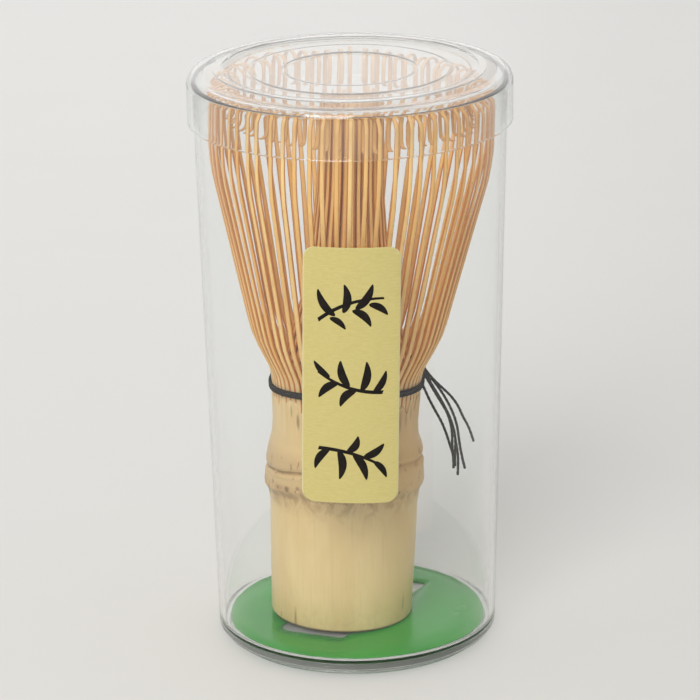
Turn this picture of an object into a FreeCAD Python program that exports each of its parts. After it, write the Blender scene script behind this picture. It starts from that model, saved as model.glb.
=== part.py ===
import FreeCAD, Part
import math
import os
import random

# A bamboo tea whisk in its clear round storage case. Millimetres, +Z up.
# The origin is the middle of the case's foot, on the surface it stands on; the label faces -Y.
#
# The whisk is split from one length of bamboo culm. Below the node the culm is the handle. Above it
# the wall is split into sixteen primary splints, and each splint into four outer tines, which flare
# and curl over at the tip, and four inner tines, which gather into a bundle in the middle. Each
# splint's outer and inner tines are one sub-part each. A black thread is woven between the two rows,
# goes twice round the outer row, is knotted, and hangs down in six strands.

V = FreeCAD.Vector
UP = V(0, 0, 1)
ORIGIN = V(0, 0, 0)

# ---- driving sizes: the case ----
TUBE_FOOT_R = 30.0
TAPER_LOW = 2.0
TUBE_MOUTH_R = 32.95
TUBE_H = 122.9
TUBE_WALL = 1.2
TUBE_CORNER = 1.8
FOOT_RING_IN = 25.9
FOOT_RING_OUT = 27.7
FOOT_RING_DROP = 1.0
FLOOR_UNDER = 2.3
FLOOR_T = 1.2

LID_R = 34.05
LID_SKIRT_Z = 114.2
LID_PANEL_Z = 124.7
LID_RIM_Z = 125.4
LID_T = 0.8
LID_SHOULDER = 2.2
LID_RIM_R = 28.1
LID_STEP_R = 21.0
LID_BUTTON_R = 13.3
LID_STEP_H = 0.3

# ---- driving sizes: the card and the label ----
CARD_R = 27.7
CARD_T = 0.4
WINDOW_TURN = 58.0
WINDOW_CORNERS = [(-18.8, 9.0, 3.0), (-15.9, -6.1, 1.2), (20.0, -6.1, 1.2), (17.5, 9.0, 1.2)]

LABEL_W = 20.0
LABEL_LOW = 40.0
LABEL_HIGH = 95.7
LABEL_CORNER = 2.5
LABEL_T = 0.15
LABEL_TILT = 1.2
LABEL_X = -0.6

# ---- driving sizes: the whisk, along its own axis from the foot ----
WHISK_LEAN = 1.9
WHISK_FOOT_X = -3.36
FOOT_R = 15.1
SEAT_GAP = 0.05
SPLIT_Z = 46.5
NODE_Z = 31.0
BAND_Z = 53.4
TOP_Z = 117.1

SPLINTS = 16
TINES_EACH = 4
TINES = SPLINTS * TINES_EACH
OUTER_ROOT_W = 1.36
OUTER_TIP_W = 0.86
INNER_ROOT_W = 1.22
INNER_TIP_W = 0.62
HEAD_R = 29.7
CURL_R = 2.85
CURL_DROP = 7.2
CURL_TIP_R = 1.3
LAYER_STEP = 2.0

THREAD_D = 0.72
BINDING_R = 16.5
WEAVE_D = 0.8
WEAVE_R = 15.15
WEAVE_Z = 55.4
TAIL_D = 0.5
KNOT_R = 1.3


# ---- outlines ----
def rounded_wire(corners, place):
    """A closed wire through corners (a, b, radius), each rounded by a tangent arc of its radius.

    place turns a and b into a point in space.
    """
    starts, ends, arcs = [], [], []
    count = len(corners)
    for i, (a, b, radius) in enumerate(corners):
        here = V(a, b, 0)
        back = (V(*corners[i - 1][:2], 0) - here).normalize()
        ahead = (V(*corners[(i + 1) % count][:2], 0) - here).normalize()
        if radius <= 0:
            starts.append(here)
            ends.append(here)
            arcs.append(None)
            continue
        half = back.getAngle(ahead) / 2
        reach = radius / math.tan(half)
        middle = here + (back + ahead).normalize() * (radius / math.sin(half) - radius)
        starts.append(here + back * reach)
        ends.append(here + ahead * reach)
        arcs.append(middle)
    edges = []
    for i in range(count):
        if arcs[i] is not None:
            edges.append(Part.Arc(place(starts[i]), place(arcs[i]), place(ends[i])).toShape())
        following = starts[(i + 1) % count]
        if (following - ends[i]).Length > 1e-6:
            edges.append(Part.LineSegment(place(ends[i]), place(following)).toShape())
    return Part.Wire(edges)


def upright(p):
    """A point of a radial section: radius along X, height along Z."""
    return V(p.x, 0, p.y)


def turned(corners):
    """The solid that an outline (radius, height, rounding) makes when it turns about the Z axis."""
    return Part.Face(rounded_wire(corners, upright)).revolve(ORIGIN, UP, 360)


def flat(p):
    """A point of a plan: along X and across Y."""
    return V(p.x, p.y, 0)


def tube_radius(z):
    """Outer radius of the case's tapered wall at a height."""
    share = (z - TAPER_LOW) / (TUBE_H - TAPER_LOW)
    return TUBE_FOOT_R + (TUBE_MOUTH_R - TUBE_FOOT_R) * share


# ---- the case ----
FLOOR_Z = FLOOR_UNDER + FLOOR_T
CARD_TOP = FLOOR_Z + CARD_T


def case_tube():
    """One moulding: tapered wall, rounded bottom corner, foot ring and raised floor."""
    rim_in = TUBE_MOUTH_R - TUBE_WALL
    floor_in = tube_radius(FLOOR_Z) - TUBE_WALL
    return turned([
        (0, FLOOR_UNDER, 0),
        (FOOT_RING_IN, FLOOR_UNDER, 0.4),
        (FOOT_RING_IN + 0.3, 0, 0.35),
        (FOOT_RING_OUT, 0, 0.4),
        (FOOT_RING_OUT + 0.2, FOOT_RING_DROP, 0.3),
        (tube_radius(FOOT_RING_DROP), FOOT_RING_DROP, TUBE_CORNER),
        (TUBE_MOUTH_R, TUBE_H, 0.35),
        (rim_in, TUBE_H, 0.35),
        (floor_in, FLOOR_Z, 1.0),
        (0, FLOOR_Z, 0),
    ])


def case_lid():
    """A push-on cap: skirt, rounded shoulder, raised stacking rim and a stepped panel, all one thickness."""
    panel = [
        (LID_RIM_R + 2.6, 0, 1.5),
        (LID_RIM_R + 0.3, LID_RIM_Z - LID_PANEL_Z, 0.5),
        (LID_RIM_R - 1.5, LID_RIM_Z - LID_PANEL_Z, 0.5),
        (LID_RIM_R - 2.4, 0, 0.6),
        (LID_STEP_R + 0.4, 0, 0.4),
        (LID_STEP_R - 0.1, LID_STEP_H, 0.4),
        (LID_BUTTON_R + 0.5, LID_STEP_H, 0.4),
        (LID_BUTTON_R, 0, 0.4),
        (0, 0, 0),
    ]
    over = [(r, LID_PANEL_Z + z, bend) for r, z, bend in panel]
    under = [(r, LID_PANEL_Z - LID_T + z, bend) for r, z, bend in panel[::-1]]
    skirt_in = LID_R - LID_T
    return turned(under + [
        (skirt_in, LID_PANEL_Z - LID_T - 0.1, LID_SHOULDER - LID_T),
        (skirt_in, LID_SKIRT_Z, 0.2),
        (LID_R, LID_SKIRT_Z, 0.3),
        (LID_R, LID_PANEL_Z - 0.1, LID_SHOULDER),
    ] + over)


def base_card():
    """A card disc that lies on the floor, with one long four-sided window across it."""
    disc = Part.makeCylinder(CARD_R, CARD_T, V(0, 0, FLOOR_Z))
    window = Part.Face(rounded_wire(WINDOW_CORNERS, flat)).extrude(UP * CARD_T)
    window.rotate(ORIGIN, UP, WINDOW_TURN)
    window.translate(V(0, 0, FLOOR_Z))
    return disc.cut(window)


def front_label():
    """A thin label with rounded corners, bent round the front of the case's wall."""
    low, high = LABEL_LOW - 5, LABEL_HIGH + 5
    skin = turned([
        (tube_radius(low), low, 0),
        (tube_radius(low) + LABEL_T, low, 0),
        (tube_radius(high) + LABEL_T, high, 0),
        (tube_radius(high), high, 0),
    ])
    half_w, half_h = LABEL_W / 2, (LABEL_HIGH - LABEL_LOW) / 2
    sheet = Part.Face(rounded_wire([
        (-half_w, -half_h, LABEL_CORNER),
        (half_w, -half_h, LABEL_CORNER),
        (half_w, half_h, LABEL_CORNER),
        (-half_w, half_h, LABEL_CORNER),
    ], upright)).extrude(V(0, -2 * TUBE_MOUTH_R, 0))
    sheet.rotate(ORIGIN, V(0, 1, 0), LABEL_TILT)
    sheet.translate(V(LABEL_X, 0, LABEL_LOW + half_h))
    return skin.common(sheet)


# ---- the whisk ----
def lean(shape):
    """Stands a whisk part in the case: tipped to +X about its foot, its low edge just off the card."""
    shape.rotate(ORIGIN, V(0, 1, 0), WHISK_LEAN)
    lift = FOOT_R * math.sin(math.radians(WHISK_LEAN)) + SEAT_GAP
    shape.translate(V(WHISK_FOOT_X, 0, CARD_TOP + lift))
    return shape


def handle():
    """The culm below the split: hollow above and below the node, with the node's web between."""
    return lean(turned([
        (0, NODE_Z - 3.4, 0),
        (10.6, NODE_Z - 4.4, 2.5),
        (11.3, 0, 0.4),
        (FOOT_R, 0, 0.35),
        (15.62, 16.0, 30),
        (15.78, NODE_Z - 5.8, 4),
        (16.25, NODE_Z - 3.0, 1.2),
        (17.10, NODE_Z - 1.6, 0.8),
        (17.00, NODE_Z + 0.6, 1.5),
        (16.85, NODE_Z + 3.2, 0.6),
        (16.40, NODE_Z + 4.3, 0.6),
        (16.90, NODE_Z + 5.6, 0.8),
        (16.60, NODE_Z + 6.8, 1.5),
        (15.65, NODE_Z + 9.6, 5),
        (15.50, NODE_Z + 13.0, 10),
        (15.60, SPLIT_Z, 0),
        (13.4, SPLIT_Z, 0),
        (11.6, NODE_Z + 6.0, 8),
        (11.0, NODE_Z + 0.3, 1.5),
        (0, NODE_Z - 0.4, 0),
    ]))


def ribbon(stations):
    """A strip's side outline from stations (radius, height, half thickness, bend radius).

    The stations run up one side of the middle line and down the other, each set off by the half
    thickness along the line that halves the corner. A bend is tighter on its inner side.
    """
    sides = [], []
    for i, (r, z, half, bend) in enumerate(stations):
        here = V(r, z, 0)
        before = here - V(*stations[i - 1][:2], 0) if i else None
        after = V(*stations[i + 1][:2], 0) - here if i + 1 < len(stations) else None
        before = (before or after).normalize()
        after = (after or before).normalize()
        along = (before + after).normalize()
        normal = V(along.y, -along.x, 0)
        reach = half / math.cos(before.getAngle(after) / 2)
        leftward = before.x * after.y - before.y * after.x > 0
        for side, sign in zip(sides, (1, -1)):
            at = here + normal * (sign * reach)
            outside = (sign > 0) == leftward
            radius = bend + half if outside else bend - half
            side.append((at.x, at.y, radius if bend > 0 else 0))
    return sides[0] + sides[1][::-1]


def tine(stations, root_w, tip_w, sway, azimuth):
    """One tine: its side outline given a width, narrowed to the tip, swayed sideways and turned."""
    thick = Part.Face(rounded_wire(ribbon(stations), upright)).extrude(V(0, 8, 0))
    thick.translate(V(0, -4, 0))
    top = TOP_Z + 3
    front = Part.Face(Part.makePolygon([
        V(0, -root_w / 2, SPLIT_Z - 1),
        V(0, root_w / 2, SPLIT_Z - 1),
        V(0, sway + tip_w / 2, top),
        V(0, sway - tip_w / 2, top),
        V(0, -root_w / 2, SPLIT_Z - 1),
    ])).extrude(V(40, 0, 0))
    strip = thick.common(front).Solids[0]
    strip.rotate(ORIGIN, UP, azimuth)
    return lean(strip)


def outer_stations(rise, curl, tuck):
    """Side of an outer tine: up from the split, out over the thread, a straight flare, then a curl.

    The curl goes over inward and down, and its tip turns out again.
    """
    top = TOP_Z + rise
    tip_r = HEAD_R - 2 * curl
    return [
        (15.2, SPLIT_Z, 0.40, 0),
        (15.45, 51.0, 0.38, 9),
        (16.05, 55.4, 0.36, 9),
        (20.25, 63.4, 0.33, 22),
        (28.9, 98.6, 0.27, 16),
        (HEAD_R, 104.0, 0.25, 14),
        (HEAD_R, top, 0.20, curl - 0.3),
        (tip_r, top, 0.16, curl - 0.3),
        (tip_r + 0.3 + tuck, top - CURL_DROP, 0.13, CURL_TIP_R),
        (tip_r + 2.1 + tuck, top - CURL_DROP + 0.2, 0.12, 0),
    ]


def inner_stations(rise, layer):
    """Side of an inner tine: up past the thread, in to the middle, then up in the bundle."""
    inset = layer * LAYER_STEP
    return [
        (13.95, SPLIT_Z, 0.30, 0),
        (13.95, 54.0, 0.30, 14),
        (8.6 - inset, 75.0, 0.27, 16),
        (6.9 - inset, 95.0, 0.22, 40),
        (6.6 - 0.8 * inset, TOP_Z - 3.0 + rise, 0.15, 0),
    ]


def tine_nodes():
    """Every splint's outer and inner tines, with small hand-made differences from tine to tine."""
    draw = random.Random(11)
    pitch = 360.0 / TINES
    nodes = {}
    for splint in range(SPLINTS):
        outer, inner = [], []
        for k in range(TINES_EACH):
            number = splint * TINES_EACH + k
            azimuth = number * pitch
            rise = draw.uniform(-0.5, 0.5)
            curl = draw.uniform(2.6, CURL_R)
            tuck = draw.uniform(-0.25, 0.35)
            sway = draw.uniform(-0.45, 0.45)
            outer.append(tine(outer_stations(rise, curl, tuck), OUTER_ROOT_W, OUTER_TIP_W, sway, azimuth))
            stations = inner_stations(draw.uniform(-1.5, 1.0), number % 2)
            inner.append(tine(stations, INNER_ROOT_W, INNER_TIP_W, 0, azimuth + pitch / 2))
        nodes[f"outer_tines_{splint + 1:02d}"] = Part.makeCompound(outer)
        nodes[f"inner_tines_{splint + 1:02d}"] = Part.makeCompound(inner)
    return nodes


def binding_thread():
    """Two rounds of thread outside the outer tines."""
    pitch = THREAD_D + 0.02
    rounds = [Part.makeTorus(BINDING_R + 0.06 * k, THREAD_D / 2, V(0, 0, BAND_Z + (k - 0.5) * pitch))
              for k in (0, 1)]
    return lean(Part.makeCompound(rounds))


def weave_thread():
    """The round of thread that is woven between the outer and the inner tines."""
    return lean(Part.makeTorus(WEAVE_R, WEAVE_D / 2, V(0, 0, WEAVE_Z)))


# ---- the thread's knot and hanging strands, placed in the case ----
KNOT = V(5.85, 16.45, 57.3)

TAIL_ROUTES = [
    [(5.8, 16.0, 56.6), (9.2, 14.8, 56.3), (12.1, 12.6, 55.3), (14.1, 9.8, 53.7), (15.2, 7.2, 51.9),
     (16.1, 6.4, 49.9), (17.3, 5.9, 47.6), (18.9, 5.5, 44.7), (19.9, 5.3, 42.1), (20.7, 5.2, 39.4),
     (21.5, 5.0, 36.8)],
    [(5.9, 16.3, 57.9), (9.3, 15.4, 58.0), (12.5, 13.4, 57.6), (14.6, 10.6, 56.4), (15.9, 7.9, 54.5),
     (17.0, 6.9, 52.4), (18.4, 6.5, 49.7), (19.9, 6.0, 47.2), (20.8, 5.5, 44.8), (21.2, 4.9, 42.1),
     (21.1, 4.6, 39.3), (21.4, 4.4, 36.8), (21.4, 4.2, 34.5)],
    [(5.6, 16.9, 57.4), (9.3, 16.1, 57.4), (12.8, 14.1, 57.0), (15.0, 11.2, 55.8), (16.5, 8.9, 54.0),
     (18.5, 7.6, 51.7), (20.1, 6.5, 49.3), (21.4, 5.5, 46.8), (22.3, 4.4, 44.0), (22.6, 3.4, 41.1),
     (23.1, 2.7, 37.9), (23.8, 2.2, 35.1)],
    [(5.7, 16.6, 56.7), (9.2, 15.7, 56.6), (12.5, 13.7, 56.1), (14.8, 11.0, 54.8), (16.2, 9.3, 53.1),
     (17.9, 8.7, 50.5), (19.4, 8.3, 47.8), (20.8, 8.0, 45.0), (21.7, 7.9, 42.1), (22.1, 7.7, 39.2),
     (22.6, 7.9, 36.1), (22.6, 8.2, 33.1), (22.5, 8.3, 31.4)],
    [(5.4, 15.8, 57.3), (8.8, 14.8, 57.4), (11.8, 12.7, 57.2), (14.1, 9.7, 56.2), (15.7, 6.8, 54.4),
     (17.3, 5.6, 51.8), (19.1, 4.4, 49.0), (20.5, 3.2, 46.8), (21.4, 2.3, 44.3), (21.8, 1.6, 41.6),
     (21.5, 1.1, 38.9), (21.6, 0.9, 36.2)],
    [(6.3, 17.1, 56.9), (9.7, 16.4, 56.7), (13.2, 14.6, 56.0), (15.4, 12.0, 54.8), (17.1, 10.2, 53.0),
     (19.1, 9.3, 51.3), (21.1, 8.8, 49.5), (22.7, 8.4, 47.3), (23.6, 8.1, 45.1), (24.7, 7.9, 43.2),
     (25.6, 7.8, 41.0), (26.1, 7.7, 39.3)],
]


def thread_knot():
    """A small round knot against the outside of the binding."""
    return Part.makeSphere(KNOT_R, KNOT)


def strand(name, route):
    """A strand's tube: straight runs joined by tangent arcs as large as the runs allow."""
    points = [V(*p) for p in route]
    edges, radii = [], []
    last = points[0]
    for before, here, after in zip(points, points[1:], points[2:]):
        back, ahead = before - here, after - here
        reach = 0.45 * min(back.Length, ahead.Length)
        back, ahead = back.normalize(), ahead.normalize()
        half = back.getAngle(ahead) / 2
        radius = reach * math.tan(half)
        radii.append(radius)
        start, end = here + back * reach, here + ahead * reach
        middle = here + (back + ahead).normalize() * (radius / math.sin(half) - radius)
        edges.append(Part.LineSegment(last, start).toShape())
        edges.append(Part.Arc(start, middle, end).toShape())
        last = end
    edges.append(Part.LineSegment(last, points[-1]).toShape())
    path = Part.Wire(edges)
    section = Part.Wire(Part.makeCircle(TAIL_D / 2, points[0], points[1] - points[0]))
    tube = path.makePipeShell([section], True, False)
    expected = math.pi * (TAIL_D / 2) ** 2 * path.Length
    print(f"{name}: length {path.Length:.1f}, radii {min(radii):.1f} to {max(radii):.0f}, "
          f"volume {tube.Volume:.3f} of {expected:.3f}")
    return tube


# ---- all sub-parts ----
def sub_parts():
    nodes = {
        "case_tube": case_tube(),
        "case_lid": case_lid(),
        "base_card": base_card(),
        "front_label": front_label(),
        "handle": handle(),
        "binding_thread": binding_thread(),
        "weave_thread": weave_thread(),
        "thread_knot": thread_knot(),
    }
    nodes.update(tine_nodes())
    for i, route in enumerate(TAIL_ROUTES):
        name = f"thread_tail_{i + 1}"
        nodes[name] = strand(name, route)
    return nodes


os.makedirs("parts", exist_ok=True)
for name, shape in sub_parts().items():
    sound = shape.isValid() and all(s.Volume > 0 for s in shape.Solids)
    print(f"{name}: {len(shape.Solids)} solids, {shape.Volume:.1f} mm3, sound {sound}")
    shape.exportStep(f"parts/{name}.step")
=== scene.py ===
import math
import random

import bpy
import numpy as np
from mathutils import Matrix


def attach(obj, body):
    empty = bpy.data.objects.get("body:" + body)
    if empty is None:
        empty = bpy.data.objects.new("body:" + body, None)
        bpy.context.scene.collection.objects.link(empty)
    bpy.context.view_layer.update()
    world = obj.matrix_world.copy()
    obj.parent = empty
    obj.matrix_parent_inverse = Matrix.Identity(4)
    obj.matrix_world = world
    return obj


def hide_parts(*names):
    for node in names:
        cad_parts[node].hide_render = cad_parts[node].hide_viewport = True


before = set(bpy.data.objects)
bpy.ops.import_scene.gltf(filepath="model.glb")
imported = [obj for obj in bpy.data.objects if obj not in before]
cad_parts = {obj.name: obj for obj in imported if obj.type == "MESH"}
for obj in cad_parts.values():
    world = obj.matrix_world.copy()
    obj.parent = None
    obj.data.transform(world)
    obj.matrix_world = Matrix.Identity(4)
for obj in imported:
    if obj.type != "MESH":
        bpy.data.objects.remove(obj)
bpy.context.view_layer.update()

# A bamboo tea whisk in its clear round case: the surfaces, finishes and lights around the packed
# frame. Shapes are worked out in millimetres and become metres when a mesh is made. The label faces
# -Y, and +Z is up.

MM = 0.001
scene = bpy.context.scene
scene.view_settings.view_transform = "Standard"


# ---- camera ----
LENS_MM = 193.32
SENSOR_MM = 36.0
CAMERA_PLACE = (0.0, -0.75931, 0.31841)
CAMERA_TURN = 0.001
CAMERA_DOWN = 0.3244
CAMERA_ROLL = -0.0146


def place_camera():
    """A long lens, three quarters of a metre in front of the case, looking down to it."""
    data = bpy.data.cameras.new("camera")
    data.lens = LENS_MM
    data.sensor_width = SENSOR_MM
    data.clip_start = 0.01
    camera = bpy.data.objects.new("camera", data)
    scene.collection.objects.link(camera)
    camera.matrix_world = (
        Matrix.Translation(CAMERA_PLACE)
        @ Matrix.Rotation(CAMERA_TURN, 4, "Z")
        @ Matrix.Rotation(math.pi / 2 - CAMERA_DOWN, 4, "X")
        @ Matrix.Rotation(CAMERA_ROLL, 4, "Z")
    )
    scene.camera = camera


place_camera()


# ---- the loose strands of the thread ----
# The diameter is in metres. The two plies reach a little past it, and the section's angle starts
# from STRAND_SIDE.
STRAND_PLY_R = 0.31
STRAND_TWIST = 2.2
STRAND_SIDE = np.array([1.0, 1.0, 0.5])
# Each strand's length in metres, and its points in millimetres from the knot to the cut end.
STRANDS = [
    (0.031, [
        (5.8, 16.0, 56.6), (9.2, 14.8, 56.3), (12.1, 12.6, 55.3), (14.1, 9.8, 53.7),
        (15.2, 7.2, 51.9), (16.1, 6.4, 49.9), (17.3, 5.9, 47.6), (18.9, 5.5, 44.7),
        (19.9, 5.3, 42.1), (20.7, 5.2, 39.4), (21.5, 5.0, 36.8)]),
    (0.036, [
        (5.9, 16.3, 57.9), (9.3, 15.4, 58.0), (12.5, 13.4, 57.6), (14.6, 10.6, 56.4),
        (15.9, 7.9, 54.5), (17.0, 6.9, 52.4), (18.4, 6.5, 49.7), (19.9, 6.0, 47.2),
        (20.8, 5.5, 44.8), (21.2, 4.9, 42.1), (21.1, 4.6, 39.3), (21.4, 4.4, 36.8),
        (21.4, 4.2, 34.5)]),
    (0.0366, [
        (5.6, 16.9, 57.4), (9.3, 16.1, 57.4), (12.8, 14.1, 57.0), (15.0, 11.2, 55.8),
        (16.5, 8.9, 54.0), (18.5, 7.6, 51.7), (20.1, 6.5, 49.3), (21.4, 5.5, 46.8),
        (22.3, 4.4, 44.0), (22.6, 3.4, 41.1), (23.1, 2.7, 37.9), (23.8, 2.2, 35.1)]),
    (0.0372, [
        (5.7, 16.6, 56.7), (9.2, 15.7, 56.6), (12.5, 13.7, 56.1), (14.8, 11.0, 54.8),
        (16.2, 9.3, 53.1), (17.9, 8.7, 50.5), (19.4, 8.3, 47.8), (20.8, 8.0, 45.0),
        (21.7, 7.9, 42.1), (22.1, 7.7, 39.2), (22.6, 7.9, 36.1), (22.6, 8.2, 33.1),
        (22.5, 8.3, 31.4)]),
    (0.0355, [
        (5.4, 15.8, 57.3), (8.8, 14.8, 57.4), (11.8, 12.7, 57.2), (14.1, 9.7, 56.2),
        (15.7, 6.8, 54.4), (17.3, 5.6, 51.8), (19.1, 4.4, 49.0), (20.5, 3.2, 46.8),
        (21.4, 2.3, 44.3), (21.8, 1.6, 41.6), (21.5, 1.1, 38.9), (21.6, 0.9, 36.2)]),
    (0.031, [
        (6.3, 17.1, 56.9), (9.7, 16.4, 56.7), (13.2, 14.6, 56.0), (15.4, 12.0, 54.8),
        (17.1, 10.2, 53.0), (19.1, 9.3, 51.3), (21.1, 8.8, 49.5), (22.7, 8.4, 47.3),
        (23.6, 8.1, 45.1), (24.7, 7.9, 43.2), (25.6, 7.8, 41.0), (26.1, 7.7, 39.3)]),
]


def spline_points(number, route):
    """The line of a NURBS spline of order 3 that has the route's points for control points."""
    curve = bpy.data.curves.new(f"strand_route_{number}", "CURVE")
    curve.dimensions = "3D"
    curve.resolution_u = 12
    spline = curve.splines.new("NURBS")
    spline.points.add(len(route) - 1)
    points = np.ones((len(route), 4))
    points[:, :3] = np.array(route) * MM
    spline.points.foreach_set("co", points.ravel())
    spline.order_u = 3
    spline.use_endpoint_u = True
    holder = bpy.data.objects.new(f"strand_route_{number}", curve)
    line = bpy.data.meshes.new_from_object(holder)
    spots = np.empty(3 * len(line.vertices))
    line.vertices.foreach_get("co", spots)
    bpy.data.objects.remove(holder)
    return spots.reshape(-1, 3)


def hang_strand(number, route):
    """One limp strand: a two-ply thread carried along its spline, with an end face at each end."""
    line = spline_points(number, route)
    points, faces = twisted(line / MM, STRAND_PLY_R, STRAND_TWIST, STRAND_SIDE, closed=False)
    strand = make_piece(f"loose_strand_{number}", points, faces, "whisk", "black_thread",
                        [f"thread_tail_{number}"])
    return strand


# ---- sizes, in millimetres and radians ----
AROUND = 256

TUBE_FOOT_R = 30.0
TUBE_MOUTH_R = 32.95
TUBE_H = 122.9
TUBE_WALL = 1.2
TAPER_LOW = 2.0
TUBE_CORNER = 1.8
FOOT_RING_IN = 25.9
FOOT_RING_OUT = 27.7
FOOT_RING_DROP = 1.0
FLOOR_UNDER = 2.3
FLOOR_Z = 3.5

LID_R = 34.05
LID_T = 0.8
LID_SKIRT_Z = 114.2
LID_PANEL_Z = 124.7
LID_RIM_Z = 125.4
LID_SHOULDER = 2.2
LID_RIM_R = 28.1
LID_STEP_R = 21.0
LID_BUTTON_R = 13.3
LID_STEP_H = 0.2

CARD_R = 27.7
CARD_T = 0.4
CARD_TRIM = 0.16
CARD_EDGE = 0.05
WINDOW_TURN = math.radians(58.0)
WINDOW_CORNERS = [(-18.8, 9.0, 3.0), (-15.9, -6.1, 1.2), (20.0, -6.1, 1.2), (17.5, 9.0, 1.2)]
WINDOW_POINTS = 220

LABEL_W = 20.0
LABEL_LOW = 40.0
LABEL_HIGH = 95.7
LABEL_CORNER = 2.5
LABEL_T = 0.15
LABEL_TILT = math.radians(1.2)
LABEL_X = -0.6
LABEL_COLS = 41
INK_T = 0.02
TWIG_HALF_W = 0.5

WHISK_LEAN = math.radians(1.9)
WHISK_FOOT_X = -3.36
WHISK_FOOT_Z = 4.45
FOOT_R = 15.1
FOOT_CRACK = math.radians(229)
SPLIT_Z = 46.5
SPLIT_R = 15.60
NODE_Z = 31.0
BAND_Z = 53.4
TOP_Z = 117.1
HEAD_R = 29.7
CURL_LEAST_R = 2.6
CURL_R = 2.85
CURL_DROP = 7.2
CURL_TIP_R = 1.3
LAYER_STEP = 2.0
SPLINTS = 16
TINES_EACH = 4
TINES = SPLINTS * TINES_EACH
PITCH = 2 * math.pi / TINES
TINE_GAP = 0.02
TINE_RUN = TOP_Z - SPLIT_Z + 4
OUTER_ROOT_W = 1.36
OUTER_TIP_W = 0.86
INNER_ROOT_W = 1.22
INNER_TIP_W = 0.62
SECTION_POINTS = 8
SECTION_POWER = 0.55

THREAD_D = 0.72
THREAD_GAP = 0.02
THREAD_PLY_R = 0.39
THREAD_LAY = 1.6
BAND_SAG = 1.5
BAND_RIPPLE = 0.03
BINDING_R = 16.5
BINDING_POINTS = 640
WEAVE_D = 0.8
WEAVE_R = 15.15
WEAVE_Z = 55.4
WEAVE_TURNS = 76
WEAVE_POINTS = 384
KNOT = (5.85, 16.45, 57.3)
KNOT_R = 1.3
KNOT_PLY_R = 0.30
KNOT_TWIST = 1.1
KNOT_POINTS = 160
TREFOIL_R = 3.05


# ---- lines and grids ----
def unit(v):
    return v / np.linalg.norm(v)


def smooth(t):
    """0 below 0, 1 above 1, and 3t^2 - 2t^3 between."""
    t = np.clip(t, 0.0, 1.0)
    return t * t * (3 - 2 * t)


def bell(x, middle, width):
    """1 at the middle, falling away on both sides: exp(-((x - middle) / width)^2)."""
    return np.exp(-((x - middle) / width) ** 2)


def turned(a, b, angle):
    """The pair (a, b) turned about the origin: (a cos - b sin, a sin + b cos)."""
    c, s = np.cos(angle), np.sin(angle)
    return a * c - b * s, a * s + b * c


def circle(count):
    """Evenly spaced angles for one turn, without the last."""
    return np.arange(count) * (2 * math.pi / count)


def arc_lengths(line):
    """The distance along a line to each of its points."""
    return np.concatenate([[0], np.cumsum(np.linalg.norm(np.diff(line, axis=0), axis=1))])


def rounded(corners, closed=False, arc_step=0.16, support=0.25):
    """A line through corners (a, b, radius), each turned into a tangent arc of its radius.

    An arc is centre + (start - centre) turned by evenly spaced angles. A straight run gets a point
    near each end, so that smooth shading stays flat on it. Returns the points, and for each the
    number of the corner it belongs to.
    """
    spots = np.array([c[:2] for c in corners], float)
    count = len(corners)
    runs = []
    for i, (_, _, radius) in enumerate(corners):
        here = spots[i]
        if radius <= 0 or (not closed and i in (0, count - 1)):
            runs.append(here[None])
            continue
        back, ahead = unit(spots[i - 1] - here), unit(spots[(i + 1) % count] - here)
        half = math.acos(np.clip(back @ ahead, -1, 1)) / 2
        reach = radius / math.tan(half)
        centre = here + unit(back + ahead) * radius / math.sin(half)
        a, b = here + back * reach - centre, here + ahead * reach - centre
        swing = math.atan2(a[0] * b[1] - a[1] * b[0], a @ b)
        angles = np.linspace(0, swing, max(4, int(abs(swing) / arc_step) + 2))
        runs.append(centre + np.stack(turned(a[0], a[1], angles), 1))
    line, owner = [runs[0]], [np.zeros(len(runs[0]))]
    for i in range(1, count):
        gap = runs[i][0] - line[-1][-1]
        length = np.linalg.norm(gap)
        if length > 3 * support:
            share = np.array([support / length, 1 - support / length])
            line.append(line[-1][-1] + gap * share[:, None])
            owner.append(i - 1 + share)
        line.append(runs[i])
        owner.append(np.full(len(runs[i]), float(i)))
    points, owner = np.concatenate(line), np.concatenate(owner)
    keep = np.ones(len(points), bool)
    keep[1:] = np.linalg.norm(np.diff(points, axis=0), axis=1) > 1e-5
    return points[keep], owner[keep]


def quads(rows, cols, closed=False):
    """The faces of a grid of points, row by row. The last column meets the first, and in a closed
    grid the last row meets the first too."""
    row = np.arange(rows if closed else rows - 1)[:, None] * cols
    above = (row + cols) % (rows * cols)
    column = np.arange(cols)[None, :]
    beside = (column + 1) % cols
    faces = np.stack([row + column, row + beside, above + beside, above + column], -1)
    return faces.reshape(-1, 4).tolist()


def end_faces(rows, cols):
    """The two flat faces that close a grid at its first and its last row."""
    column = np.arange(cols)
    return [column[::-1].tolist(), (column + (rows - 1) * cols).tolist()]


def joined(blocks):
    """Several (points, faces) as one."""
    points, faces, total = [], [], 0
    for block, more in blocks:
        points.append(block)
        faces += [[i + total for i in face] for face in more]
        total += len(block)
    return np.concatenate(points), faces


def make_piece(name, points, faces, body, slot, nodes, values=None):
    """A mesh piece with smooth shading that rides on a body and stands for its CAD nodes."""
    mesh = bpy.data.meshes.new(name)
    mesh.from_pydata((points * MM).tolist(), [], faces)
    mesh.polygons.foreach_set("use_smooth", np.ones(len(mesh.polygons), bool))
    for key, data in (values or {}).items():
        attribute = mesh.attributes.new(key, "FLOAT", "POINT")
        attribute.data.foreach_set("value", np.asarray(data, np.float32).ravel())
    mesh.update()
    piece = bpy.data.objects.new(name, mesh)
    scene.collection.objects.link(piece)
    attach(piece, body)
    if nodes:
        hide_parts(*nodes)
    return piece


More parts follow.
